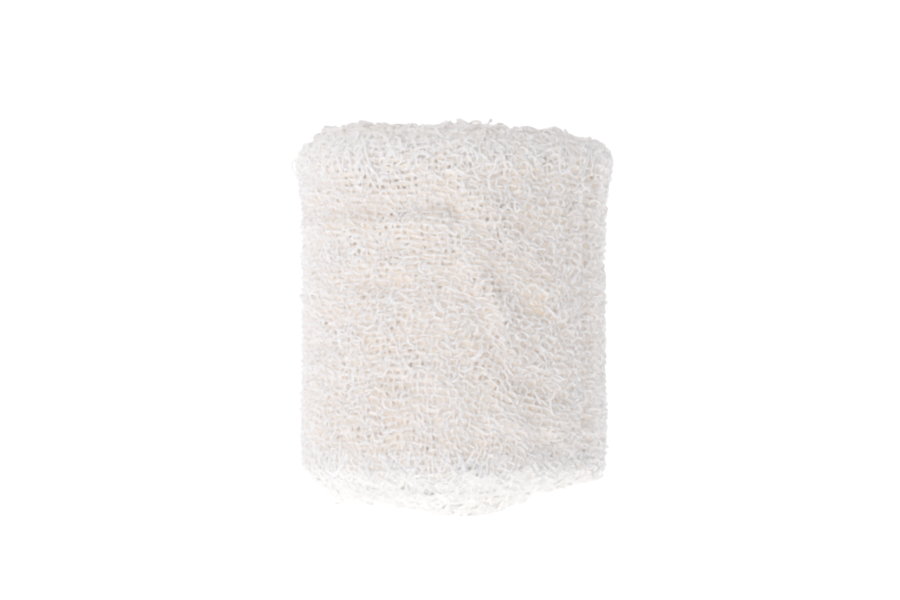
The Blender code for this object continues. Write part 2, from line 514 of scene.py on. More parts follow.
    def above_floor(self, place: Value, least: float) -> Value:
        """Lifts a place that lies too low.

        Args:
            place: The place in the frame, in metres.
            least: The least height where the roll stands, in mm.

        Returns:
            The place, at the height of the stand or above it.
        """
        x, y, z = self.parts(place)
        aside = self.math("ABSOLUTE", x - STAND_X * MM) - STAND_HALF_WIDTH * MM
        rise = self.clamped(aside * STAND_SLOPE, 0.0, STAND_MOST * MM)
        return self.joined(x, y, self.math("MAXIMUM", z, rise + least * MM))

    def tube(self, curves: Value, yarn_radius: float) -> Value:
        """Gives curves a yarn's section.

        Args:
            curves: The curves to follow.
            yarn_radius: The yarn's radius, in mm.

        Returns:
            The tubes.
        """
        radius = self.size("Yarn radius", yarn_radius * MM)
        circle = {"Resolution": YARN_SIDES, "Radius": radius}
        section = self.value("GeometryNodeCurvePrimitiveCircle", {"mode": "RADIUS"}, circle)
        inputs = {"Curve": curves, "Profile Curve": section, "Fill Caps": True}
        return self.value("GeometryNodeCurveToMesh", None, inputs)

    def made(self, geometry: Value, material: bpy.types.Material) -> bpy.types.Object:
        """Ends the tree, runs it and keeps its result as a plain mesh.

        Args:
            geometry: What the tree makes.
            material: The finish of all of it.

        Returns:
            A mesh object at the origin, with no modifier.
        """
        finish = self.named("Finish", "NodeSocketMaterial", material)
        real = self.value("GeometryNodeRealizeInstances", None, {"Geometry": geometry})
        flat = {"Geometry": real, "Shade Smooth": False}
        inputs = {"Geometry": self.value("GeometryNodeSetShadeSmooth", None, flat)}
        inputs["Material"] = finish
        dressed = self.value("GeometryNodeSetMaterial", None, inputs)
        self.node("NodeGroupOutput", None, {0: dressed})
        piece = added(self.name, bpy.data.meshes.new(self.name))
        modifier = piece.modifiers.new("make", "NODES")
        modifier.node_group = self.tree
        for identifier, value in self.given.items():
            modifier[identifier] = value
        mesh = plain_mesh(piece)
        piece.modifiers.remove(modifier)
        piece.data = mesh
        mesh.name = self.name
        return piece


# The finishes


@dataclass(frozen=True)
class Finish:
    """A material made of nodes on Object coordinates."""

    name: str

    def make(self) -> bpy.types.Material:
        """Builds the material.

        Returns:
            The material, with its shader fed.
        """
        material = bpy.data.materials.new(self.name)
        material.use_nodes = True
        self.fill(Graph(material.node_tree))
        return material

    def fill(self, graph: Graph) -> None:
        """Feeds the shader of the material's graph."""
        raise NotImplementedError


@dataclass(frozen=True)
class CottonYarn(Finish):
    """Bleached, tightly twisted cotton yarn: matt, a little cool where it catches the light."""

    name: str = "cotton_yarn"
    light: Color = (0.966, 0.958, 0.966, 1.0)
    dark: Color = (0.962, 0.943, 0.94, 1.0)
    fibre_scale: float = 2600.0
    tone_scale: float = 420.0
    tone_spread: float = 1.6
    bump_height: float = 0.00001
    roughness: float = 0.85
    sheen: float = 0.25

    def fill(self, graph: Graph) -> None:
        """Feeds the shader with the yarn's tone, its fibres and its soft sheen."""
        place = graph.object_place()
        tone, _ = graph.noise(place, self.tone_scale, 2.0)
        fibre, _ = graph.noise(place, self.fibre_scale, 1.0)
        share = graph.math("MULTIPLY_ADD", tone, self.tone_spread, 0.5)
        color = graph.ramp(share, (0.2, self.dark), (0.8, self.light))
        graph.feed_shader(
            {
                "Base Color": self.tinted(graph, place, color),
                "Roughness": graph.math("MULTIPLY_ADD", tone, 0.2, self.roughness),
                "Normal": graph.bump(fibre, self.bump_height),
                "Specular IOR Level": 0.25,
                "Sheen Weight": self.sheen,
                "Sheen Roughness": 0.5,
            }
        )

    def tinted(self, graph: Graph, place: Value, color: Value) -> Value:
        """The yarn's colour at a place: here the same at every height."""
        return color


@dataclass(frozen=True)
class InnerYarn(CottonYarn):
    """The same yarn a turn deeper, with painted shade: warmer and darker, for the light that has
    passed through more cotton.
    """

    name: str = "inner_yarn_painted_shade"
    # painted shade: the yarn's white made warmer and darker for its depth under the outer yarns
    light: Color = (0.96, 0.89, 0.815, 1.0)
    dark: Color = (0.957, 0.855, 0.745, 1.0)


@dataclass(frozen=True)
class BaseYarn(CottonYarn):
    """The same yarn at the lower rim, with painted shade: darker than the outer yarn, and darker
    still towards the ground, against the light the glowing ground throws up.
    """

    name: str = "base_yarn_painted_shade"
    # painted shade: these colours are darker than the outer yarn's, and the foot's darker still, to
    # hold back the glowing ground's light
    light: Color = (0.94, 0.926, 0.912, 1.0)
    dark: Color = (0.938, 0.905, 0.87, 1.0)
    foot: Color = (0.882, 0.876, 0.87, 1.0)
    foot_height: float = 0.0115

    def tinted(self, graph: Graph, place: Value, color: Value) -> Value:
        """The yarn's colour at a place.

        Args:
            graph: The material's graph.
            place: The place on the yarn.
            color: The colour above the foot.

        Returns:
            The colour, which goes over to the painted shade of the foot towards the ground.
        """
        # painted shade: darker towards the ground, up to the foot height
        share = graph.clamped(graph.parts(place)[2] / self.foot_height, 0.0, 1.0)
        return graph.mixed(share, self.foot, color)


@dataclass(frozen=True)
class PadYarn(BaseYarn):
    """The soft cotton right under the loops of both rims, with painted shade: warmer and darker for
    its depth under the loops, and darker towards the ground.
    """

    name: str = "pad_yarn_painted_shade"
    # painted shade: warm, darker colours for the depth under the loops, and a darker foot near the
    # ground
    light: Color = (0.967, 0.915, 0.86, 1.0)
    dark: Color = (0.964, 0.895, 0.82, 1.0)
    foot: Color = (0.91, 0.898, 0.882, 1.0)
    foot_height: float = 0.013


@dataclass(frozen=True)
class RimYarn(CottonYarn):
    """The same yarn at the upper rim, with painted light: warmer colours, for the light that passes
    through the loose cotton there.
    """

    name: str = "rim_yarn_painted_light"
    # painted light: warmer than the outer yarn, for light passing through the loose cotton
    light: Color = (0.963, 0.947, 0.937, 1.0)
    dark: Color = (0.962, 0.92, 0.875, 1.0)


@dataclass(frozen=True)
class ShadedCloth(Finish):
    """The turns under the outer ones, with painted shade: warm and darker, for the depth that shows
    between the yarns.
    """

    name: str = "wound_cotton_painted_shade"
    # painted shade: warm, darker colours for the turns deep under the yarns; the edge colour is
    # where it fades out
    thread: Color = (0.975, 0.84, 0.66, 1.0)
    gap: Color = (0.975, 0.8, 0.57, 1.0)
    edge: Color = (0.962, 0.948, 0.942, 1.0)
    edge_depth: float = 4.0
    thread_scale: float = 900.0
    thread_spread: float = 2.0
    bump_height: float = 0.00006
    roughness: float = 0.9

    def fill(self, graph: Graph) -> None:
        """Feeds the shader with the weave's tone in painted warm shade, which fades to a pale
        colour towards the cloth's edges.
        """
        weave, _ = graph.noise(graph.object_place(), self.thread_scale, 2.0)
        share = graph.math("MULTIPLY_ADD", weave, self.thread_spread, 0.5)
        deep = graph.ramp(share, (0.3, self.gap), (0.7, self.thread))
        inside = graph.node("ShaderNodeAttribute", {"attribute_name": EDGE_DISTANCE})
        depth = Value(graph, inside.outputs["Fac"]) / self.edge_depth
        graph.feed_shader(
            {
                "Base Color": graph.mixed(graph.math("MINIMUM", depth, 1.0), self.edge, deep),
                "Roughness": graph.math("MULTIPLY_ADD", weave, 0.2, self.roughness),
                "Normal": graph.bump(weave, self.bump_height),
            }
        )


@dataclass(frozen=True)
class PaleGround(Finish):
    """The plain pale ground, lit from within like a photographer's light table."""

    glow: float
    color: Color = (0.9, 0.9, 0.9, 1.0)
    light: Color = (1.0, 1.0, 1.0, 1.0)

    def fill(self, graph: Graph) -> None:
        """Feeds the shader with an even, matt, glowing white."""
        graph.feed_shader(
            {
                "Base Color": self.color,
                "Roughness": 0.9,
                "Specular IOR Level": 0.1,
                "Emission Color": self.light,
                "Emission Strength": self.glow,
            }
        )


# The roll's skin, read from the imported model


class Skin:
    """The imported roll's surface, for pieces that are placed one by one."""

    def __init__(self) -> None:
        """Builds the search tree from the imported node's mesh."""
        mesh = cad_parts[ROLL_NODE].data
        points = [vertex.co.copy() for vertex in mesh.vertices]
        faces = [tuple(polygon.vertices) for polygon in mesh.polygons]
        self.tree = BVHTree.FromPolygons(points, faces)
        low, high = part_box(ROLL_NODE)
        self.low, self.high = low[2] / MM, high[2] / MM

    def met(self, middle: Vector, outward: Vector) -> Vector | None:
        """Where the skin is met from outside, on the way to a place on the axis."""
        return self.tree.ray_cast(middle + outward * REACH * MM, -outward)[0]

    def end_height(self, side: Side, radius: float, angle: float) -> float:
        """The height of an end of the roll.

        Args:
            side: Which end.
            radius: How far from the axis, in mm.
            angle: The angle round the axis, in degrees.

        Returns:
            The height in mm.
        """
        turn = math.radians(angle)
        start = (self.high if side is Side.TOP else self.low) + side.value
        source = Vector((radius * math.sin(turn), -radius * math.cos(turn), start)) * MM
        hit = self.tree.ray_cast(source, Vector((0, 0, -side.value)))[0]
        return hit.z / MM if hit else start

    def wall_radius(self, angle: float, height: float) -> float:
        """How far the roll's side is from the axis.

        Args:
            angle: The angle round the axis, in degrees.
            height: The height in mm.

        Returns:
            The radius in mm.
        """
        turn = math.radians(angle)
        outward = Vector((math.sin(turn), -math.cos(turn), 0.0))
        hit = self.met(Vector((0.0, 0.0, height * MM)), outward)
        return hit.xy.length / MM if hit else OUTER_RADIUS

    def place(self, x: float, y: float, off: float) -> Vector:
        """Takes a place on the unrolled cloth to the skin, as MadeOnRoll.on_skin does.

        Args:
            x: How far along the cloth, in mm.
            y: The height, in mm.
            off: How far outside the skin, in mm.

        Returns:
            The place in mm.
        """
        angle = x / MEAN_RADIUS
        core = min(max(y, CORE_LOW), CORE_HIGH)
        tilt = (y - core) / MEAN_RADIUS
        sine, cosine, flat = math.sin(angle), math.cos(angle), math.cos(tilt)
        outward = Vector((sine * flat, -cosine * flat, math.sin(tilt)))
        return self.met(Vector((0, 0, core * MM)), outward) / MM + outward * off


# The pieces of the bandage


@dataclass
class WoundCloth:
    """The strip of cloth in its many turns, under the outer one."""

    skin: Skin
    column_step: float = 1.15
    inner_radius: float = 0.4
    thickness: float = 0.95
    end_depth: float = 0.55
    ruffle: float = 0.22
    ruffle_depth: float = 1.6
    squeezed: float = 1.15
    squeezed_turns: float = 4.0
    edge_rows: tuple[float, ...] = (0.0, 0.7, 1.8, 4.0, 8.0, 12.5, 17.0, 22.0)
    length: float = field(default=0.0, init=False)
    width: float = field(default=0.0, init=False)

    def turn_places(self) -> list[tuple[float, float]]:
        """The strip's course seen from above.

        Returns:
            (radius, angle) at even steps along the cloth, from the outside in.
        """
        places = []
        radius = OUTER_RADIUS - TURN_PITCH - self.thickness / 2
        angle = CLOTH_END_ANGLE
        self.length = 0.0
        while radius > self.inner_radius:
            places.append((radius, angle))
            step = min(self.column_step, radius * 0.5)
            turned = step / radius
            angle -= math.degrees(turned)
            radius -= TURN_PITCH * turned / math.tau
            self.length += step
        return places

    def column(self, radius: float, angle: float, index: int) -> list[tuple[float, float, float]]:
        """One line of points across the cloth.

        Args:
            radius: How far from the axis, in mm.
            angle: The angle round the axis, in degrees.
            index: The line's number, for the ruffled edges.

        Returns:
            The points from the base to the top, in mm.
        """
        top = self.skin.end_height(Side.TOP, radius, angle) - self.end_depth
        turn = math.radians(angle)
        aside = abs(radius * math.sin(turn) - STAND_X) - STAND_HALF_WIDTH
        stand = min(max(aside * STAND_SLOPE, 0.0), STAND_MOST)
        base = max(self.skin.end_height(Side.BASE, radius, angle), stand) + self.end_depth
        rows = [base + row for row in self.edge_rows]
        rows += [top - row for row in reversed(self.edge_rows)]
        turns_in = (OUTER_RADIUS - radius) / TURN_PITCH
        points = []
        for height in rows:
            near_edge = math.exp(-min(height - base, top - height) / self.ruffle_depth)
            wave = math.sin(index * 2.1) + 0.6 * math.sin(index * 0.83 + height)
            out = radius + self.ruffle * near_edge * wave
            if turns_in < self.squeezed_turns:
                out = min(out, self.skin.wall_radius(angle, height) - turns_in * self.squeezed)
            points.append((out * math.sin(turn), -out * math.cos(turn), height))
        return points

    def make(self, material: bpy.types.Material) -> bpy.types.Object:
        """Builds the strip as one thin sheet.

        Args:
            material: The cloth's finish.

        Returns:
            The sheet, with a live Solidify modifier.
        """
        places = self.turn_places()
        columns = np.array([self.column(r, a, i) for i, (r, a) in enumerate(places)])
        lines, rows, _ = columns.shape
        faces = [
            (c * rows + r, (c + 1) * rows + r, (c + 1) * rows + r + 1, c * rows + r + 1)
            for c in range(lines - 1)
            for r in range(rows - 1)
        ]
        mesh = bpy.data.meshes.new("wound_cloth")
        mesh.from_pydata((columns.reshape(-1, 3) * MM).tolist(), [], faces)
        mesh.materials.append(material)
        mesh.shade_smooth()
        heights = columns[:, :, 2]
        inside = np.minimum(heights - heights[:, :1], heights[:, -1:] - heights)
        kept = mesh.attributes.new(EDGE_DISTANCE, "FLOAT", "POINT")
        kept.data.foreach_set("value", inside.astype(np.float32).ravel())
        cloth = added("wound_cloth", mesh)
        solid = cloth.modifiers.new("thickness", "SOLIDIFY")
        solid.thickness = self.thickness * MM
        solid.offset = 0.0
        self.width = float(np.mean(heights[:, -1] - heights[:, 0]))
        return cloth


@dataclass
class YarnNet:
    """One family of yarns in the outer cloth, crinkled, over and under the other family."""

    name: str
    way: YarnWay
    depth: float = 0.2
    low: float = 8.6
    high: float = 68.6
    step: float = 0.34
    seed: float = 1.0
    radius: float = YARN_RADIUS
    rise: float = 0.52
    kink: float = 1.7
    kink_length: float = 1.9
    kink_stride: float = 3.7
    sway: float = 3.2
    sway_length: float = 7.0
    puff: float = 0.9
    crinkle: float = 0.8
    crinkle_along: float = 4.5
    crinkle_up: float = 1.9
    crinkle_seed: float = 4.0
    slant: float = 0.1
    slant_right: float = 0.2
    forward: float = 0.13
    droop: float = 2.4
    twist_angle: float = 26.0
    twist_height: float = 31.0
    twist_reach: float = 16.0
    twist_turn: float = -0.42

    def yarns(self, graph: MadeOnRoll) -> tuple[Value, Value, Value]:
        """Lays straight yarns side by side on the unrolled cloth.

        Args:
            graph: The tree to add to.

        Returns:
            The curves, and the along and across spacing of the crossings.
        """
        right = math.radians(CLOTH_END_ANGLE) * MEAN_RADIUS
        begin = (right - ROUND, self.low, 0.0)
        if self.way is YarnWay.WARP:
            reach, count = ROUND, round((self.high - self.low) / WARP_SPACING) + 1
            end, own, other = (right, self.low, 0.0), WARP_SPACING, WEFT_SPACING
            offset = (0.0, own, 0.0)
        else:
            reach, count = self.high - self.low, round(ROUND / WEFT_SPACING)
            end, own, other = (right - ROUND, self.high, 0.0), ROUND / count, WARP_SPACING
            offset = (own, 0.0, 0.0)
        line = graph.line(begin, end, graph.count("Points along a yarn", round(reach / self.step)))
        laid = graph.laid(graph.row(graph.count("Yarns", count), offset), line)
        return laid, graph.size("Own spacing", own), graph.size("Crossing spacing", other)

    def twisted(self, graph: MadeOnRoll, x: Value, y: Value) -> tuple[Value, Value]:
        """Turns the cloth a little about one place of the side, where its yarns run slanting.

        Args:
            graph: The tree to add to.
            x: Along the cloth.
            y: Up the cloth.

        Returns:
            The turned place.
        """
        dx = x - math.radians(self.twist_angle) * MEAN_RADIUS
        dy = y - self.twist_height
        far = (dx * dx + dy * dy) / self.twist_reach**2
        turn = graph.math("EXPONENT", far * -1.0) * self.twist_turn
        return x - dy * turn, y + dx * turn

    def make(self, material: bpy.types.Material) -> bpy.types.Object:
        """Builds the family of yarns on the roll's skin.

        Args:
            material: The yarn's finish.

        Returns:
            The yarns as one mesh.
        """
        graph = MadeOnRoll(self.name)
        curves, own, other = self.yarns(graph)
        seed = graph.size("Seed", self.seed)
        rise = graph.size("Rise over and under", self.rise)
        kink = graph.size("Kink", self.kink)
        sway = graph.size("Sway", self.sway)
        puff = graph.size("Puff", self.puff)
        x, y, _ = graph.parts(graph.place())
        along, across = (x, y) if self.way is YarnWay.WARP else (y, x)
        row = graph.math("ROUND", across / own)
        phase = (along / other + row) * math.pi
        _, sways = graph.noise(graph.joined(x, y, seed), 1 / self.sway_length)
        crinkles = graph.joined(x / self.crinkle_along, y / self.crinkle_up, self.crinkle_seed)
        ripple, _ = graph.noise(crinkles, 1.0, 1.0)
        sway_x, sway_y, _ = graph.parts(graph.scaled(sways, sway))
        own_place = graph.joined(along / self.kink_length, row * self.kink_stride, seed)
        _, kinks = graph.noise(own_place, 1.0, 1.0)
        kink_along, kink_across, lift = graph.parts(graph.scaled(kinks, kink))
        if self.way is YarnWay.WARP:
            right = graph.math("MAXIMUM", graph.math("SINE", x / MEAN_RADIUS), 0.0)
            slant = graph.math("SINE", phase) * (right * self.slant_right + self.slant)
            moved_x, moved_y = x + sway_x + kink_along, y + sway_y + kink_across - slant
        else:
            moved_x, moved_y = x + sway_x + kink_across, y + sway_y + kink_along
        height = (moved_y - self.low) / (self.high - self.low)
        inside = graph.math("MAXIMUM", height * (1.0 - height) * 4.0, 0.0)
        moved_y = moved_y - graph.math("SINE", x / MEAN_RADIUS) * inside * self.droop
        moved_x, moved_y = self.twisted(graph, moved_x, moved_y)
        over = graph.math("COSINE", phase) * rise + self.forward
        off = over * self.way.value + lift * puff - self.depth
        off = off + ripple * self.crinkle + graph.fold_rise(moved_x, moved_y)
        curves = graph.moved(curves, graph.on_skin(moved_x, moved_y, off))
        return graph.made(graph.tube(curves, self.radius), material)


@dataclass
class UnderNet(YarnNet):
    """The yarns of the turn below: thicker and calmer, as they show only between the others."""

    depth: float = 0.9
    step: float = 0.65
    seed: float = 9.0
    radius: float = 0.55
    rise: float = 0.1
    kink: float = 0.7
    puff: float = 0.2


@dataclass
class PadNet(YarnNet):
    """A soft, closed layer of cotton that lies under the loops of a rim."""

    step: float = 0.9
    seed: float = 9.0
    radius: float = 0.68
    rise: float = 0.05
    kink: float = 0.3
    sway: float = 0.6
    puff: float = 0.1
    crinkle: float = 0.2
    droop: float = 0.0


@dataclass
class HangingLoops:
    """A row of long loops of yarn from the edge of one turn, down over a rim or up over it."""

    name: str
    start: float
    reach: float
    seed: int
    depth: float = 0.0
    spacing: float = 1.25
    spread: float = 0.36
    steps: int = 12
    radius: float = 0.2
    half: float = 0.4
    start_range: tuple[float, float] = (-0.8, 0.8)
    reach_range: tuple[float, float] = (0.55, 1.25)
    width_range: tuple[float, float] = (0.7, 2.6)
    lean_range: tuple[float, float] = (-0.5, 0.5)
    bend_range: tuple[float, float] = (-0.22, 0.22)
    lift_range: tuple[float, float] = (-0.1, 0.55)
    bulge: float = 0.5
    wiggle: float = 1.4
    wiggle_stride: float = 5.3

    def make(self, material: bpy.types.Material) -> bpy.types.Object:
        """Builds the row of loops.

        Args:
            material: The yarn's finish.

        Returns:
            The loops as one mesh.
        """
        graph = MadeOnRoll(self.name)
        count = round(ROUND / self.spacing)
        spacing = graph.size("Loop spacing", ROUND / count)
        seed = graph.count("Seed", self.seed)
        points = graph.count("Points on a loop", self.steps)
        line = graph.line((-self.half, 0.0, 0.0), (self.half, 0.0, 0.0), points)
        laid = graph.laid(graph.row(graph.count("Loops", count), (1.0, 0.0, 0.0)), line)
        x, _, _ = graph.parts(graph.place())
        index = graph.math("ROUND", x)
        share = (x - index) / self.half
        reach = graph.size("Reach", self.reach) * graph.random(*self.reach_range, index, seed)
        width = self.spread * graph.random(*self.width_range, index, seed + 1)
        lean = graph.random(*self.lean_range, index, seed + 2)
        bend = graph.random(*self.bend_range, index, seed + 3)
        rest = 1.0 - share * share * share * share
        down = rest * reach
        bow = graph.math("SINE", share * (math.pi / 2)) * width * (1.0 + rest * self.bulge)
        wiggle_place = graph.joined(index * self.wiggle_stride, down * 0.5, share)
        wiggle, _ = graph.noise(wiggle_place, 1.0)
        across = index * spacing + bow + down * lean + wiggle * self.wiggle
        across = across + down * down * bend
        height = self.start + graph.random(*self.start_range, index, seed + 4) - down
        lift = rest * graph.random(*self.lift_range, index, seed + 5) - self.depth
        curves = graph.moved(laid, graph.on_skin(across, height, lift))
        return graph.made(graph.tube(curves, self.radius), material)


@dataclass
class EdgeLoops:
    """The short loops of the cloth's woven edge, along all its turns on one end of the roll."""

    name: str
    side: Side
    seed: int
    spacing: float = 1.25
    inner_radius: float = 0.8
    outer_radius: float = OUTER_RADIUS - 0.6
    height: float = 0.5
    width: float = 0.7
    root: float = -1.4
    radius: float = YARN_RADIUS
    steps: int = 8
    pinch: float = 0.62
    skew: float = 0.25
    wander: float = 0.35
    turn: float = 0.7
    dip: float = 0.3
    tip: float = 0.75
    width_range: tuple[float, float] = (0.7, 1.5)
    height_range: tuple[float, float] = (0.55, 1.35)
    search_middle: float = 40.0
    search_reach: float = 60.0

    def loop(self, graph: MadeOnRoll) -> Value:
        """One loop of yarn, standing on its two feet at the origin.

        Args:
            graph: The tree to add to.

        Returns:
            The loop's mesh.
        """
        line = graph.line((-1.0, 0.0, 0.0), (1.0, 0.0, 0.0), self.steps)
        share, _, _ = graph.parts(graph.place())
        bow = graph.math("COSINE", share * (math.pi / 2))
        across = graph.math("SINE", share * math.pi * self.pinch) * self.width * MM
        up = bow * (self.height - self.root) * MM + self.root * MM
        place = graph.joined(across, share * bow * self.skew * MM, up)
        return graph.tube(graph.moved(line, place), self.radius)

    def make(self, material: bpy.types.Material) -> bpy.types.Object:
        """Builds the loops of one end.

        Args:
            material: The yarn's finish.

        Returns:
            The loops as one mesh.
        """
        graph = MadeOnRoll(self.name)
        outer, inner = self.outer_radius, self.inner_radius
        length = math.pi * (outer**2 - inner**2) / TURN_PITCH
        count = graph.count("Loops", round(length / self.spacing))
        seed = graph.count("Seed", self.seed)
        index = graph.value("GeometryNodeInputIndex")
        radius = graph.math("SQRT", outer**2 - index / count * (outer**2 - inner**2))
        angle = math.radians(CLOTH_END_ANGLE) - (OUTER_RADIUS - radius) * (math.tau / TURN_PITCH)
        radius = radius + graph.random(-self.wander, self.wander, index, seed)
        sine, cosine = graph.math("SINE", angle), graph.math("COSINE", angle)
        sign = self.side.value
        height = (self.search_middle + self.search_reach * sign) * MM
        start = graph.joined(sine * radius * MM, cosine * radius * -MM, height)
        hit, normal = graph.met(start, (0.0, 0.0, -sign), 2 * self.search_reach * MM)
        points = graph.moved(graph.row(count, (0.0, 0.0, 1.0)), hit)
        wander = graph.joined(
            graph.random(-self.turn, self.turn, index, seed + 1),
            graph.random(-self.turn, self.turn, index, seed + 2),
            graph.random(-self.dip, self.dip, index, seed + 3),
        )
        upward = graph.vector("ADD", normal, graph.scaled(wander, self.tip))
        along = graph.vector("ADD", graph.joined(cosine, sine, 0.0), wander)
        align = "FunctionNodeAlignRotationToVector"
        facing = graph.value(align, {"axis": "Z"}, {"Vector": upward})
        turned = {"Rotation": facing, "Vector": along}
        facing = graph.value(align, {"axis": "X", "pivot_axis": "Z"}, turned)
        size = graph.joined(
            graph.random(*self.width_range, index, seed + 4),
            1.0,
            graph.random(*self.height_range, index, seed + 5),
        )
        return graph.made(graph.scattered(points, self.loop(graph), facing, size), material)


@dataclass
class LoneLoop:
    """A loop of yarn that stands out by itself."""

    form: LoopForm
    angle: float
    height: float
    width: float
    reach: float
    lean: float
    lift: float
    radius: float


@dataclass
class LoneLoops:
    """The loops and hooks that stand out one by one near the upper rim."""

    skin: Skin
    loops: tuple[LoneLoop, ...] = (
        LoneLoop(LoopForm.PEAK, -33.0, 63.2, 3.4, 5.0, 0.0, 1.0, 0.24),
        LoneLoop(LoopForm.ARCH, -45.6, 63.2, 1.9, 3.3, -8.0, 0.8, 0.21),
        LoneLoop(LoopForm.ARCH, -41.0, 63.6, 1.8, 3.1, 10.0, 0.8, 0.21),
        LoneLoop(LoopForm.ARCH, -27.4, 60.6, 1.5, 4.2, -28.0, 0.7, 0.2),
        LoneLoop(LoopForm.ARCH, -64.0, 61.4, 1.9, 4.0, 10.0, 0.7, 0.19),
        LoneLoop(LoopForm.HOOK, -86.0, 64.0, 1.6, 2.2, -40.0, 1.2, 0.18),
        LoneLoop(LoopForm.HOOK, -50.0, 68.0, 1.7, 2.4, 30.0, 0.9, 0.2),
        LoneLoop(LoopForm.ARCH, -42.0, 68.6, 2.0, 2.6, 0.0, 0.9, 0.2),
        LoneLoop(LoopForm.HOOK, 15.2, 62.8, 1.6, 3.2, 20.0, 0.7, 0.2),
        LoneLoop(LoopForm.RING, 3.0, 70.6, 1.6, 1.8, 0.0, 1.0, 0.18),
        LoneLoop(LoopForm.RING, 11.0, 69.2, 1.4, 1.5, 0.0, 0.9, 0.17),
        LoneLoop(LoopForm.HOOK, 23.0, 70.0, 1.2, 1.8, 15.0, 1.1, 0.17),
        LoneLoop(LoopForm.RING, 43.3, 63.3, 2.9, 4.2, 0.0, 0.8, 0.21),
        LoneLoop(LoopForm.PEAK, 58.0, 63.2, 2.9, 4.0, 0.0, 0.7, 0.19),
        LoneLoop(LoopForm.ARCH, 63.0, 63.6, 2.4, 3.6, 10.0, 0.7, 0.19),
        LoneLoop(LoopForm.RING, 44.9, 36.6, 1.7, 1.8, 0.0, 0.6, 0.19),
    )
    steps: int = 22
    foot_lift: float = 0.25

    @staticmethod
    def outline(form: LoopForm, share: float) -> tuple[float, float]:
        """A loop's outline in its own box.

        Args:
            form: Which outline.
            share: How far along it, from 0 to 1.

        Returns:
            (across, up), across from -0.5 to 0.5 and up from 0 to 1.
        """
        if form is LoopForm.RING:
            turn = math.tau * (share * 0.96 - 0.23)
            return 0.5 * math.cos(turn), 0.5 + 0.5 * math.sin(turn)
        if form is LoopForm.HOOK:
            turn = math.pi * 1.25 * min(share * 1.6, 1.0)
            tail = max(share * 1.6 - 1.0, 0.0)
            return 0.5 * math.cos(turn) - tail * 0.2, 0.6 + 0.4 * math.sin(turn) - tail
        if form is LoopForm.PEAK:
            across = share - 0.5
            return across, 1.0 - (abs(across) * 2) ** 1.3
        turn = math.pi * share
        return 0.5 * math.cos(turn), math.sin(turn) ** 0.6

    def make(self, material: bpy.types.Material) -> bpy.types.Object:
        """Builds all of them as one mesh.

        Args:
            material: The yarn's finish.

        Returns:
            The loops as one mesh.
        """
        curve = bpy.data.curves.new("lone_loops", "CURVE")
        curve.dimensions = "3D"
        curve.bevel_depth = MM
        curve.bevel_resolution = 1
        curve.use_fill_caps = True
        for loop in self.loops:
            spline = curve.splines.new("POLY")
            spline.points.add(self.steps - 1)
            lean = math.radians(loop.lean)
            for i, point in enumerate(spline.points):
                across, up = self.outline(loop.form, i / (self.steps - 1))
                across, up = across * loop.width, up * loop.reach
                x = math.radians(loop.angle) * MEAN_RADIUS
                x += across * math.cos(lean) + up * math.sin(lean)
                y = loop.height - across * math.sin(lean) + up * math.cos(lean)
                arch = (1.0 - self.foot_lift) * math.sin(math.pi * i / (self.steps - 1))
                place = self.skin.place(x, y, loop.lift * (self.foot_lift + arch)) * MM
                point.co = (*place, 1.0)
                point.radius = loop.radius
        source = added("lone_loops_curve", curve)
        mesh = plain_mesh(source)
        bpy.data.objects.remove(source)
        mesh.materials.clear()
        mesh.materials.append(material)
        mesh.shade_smooth()
        return added("lone_loops", mesh)


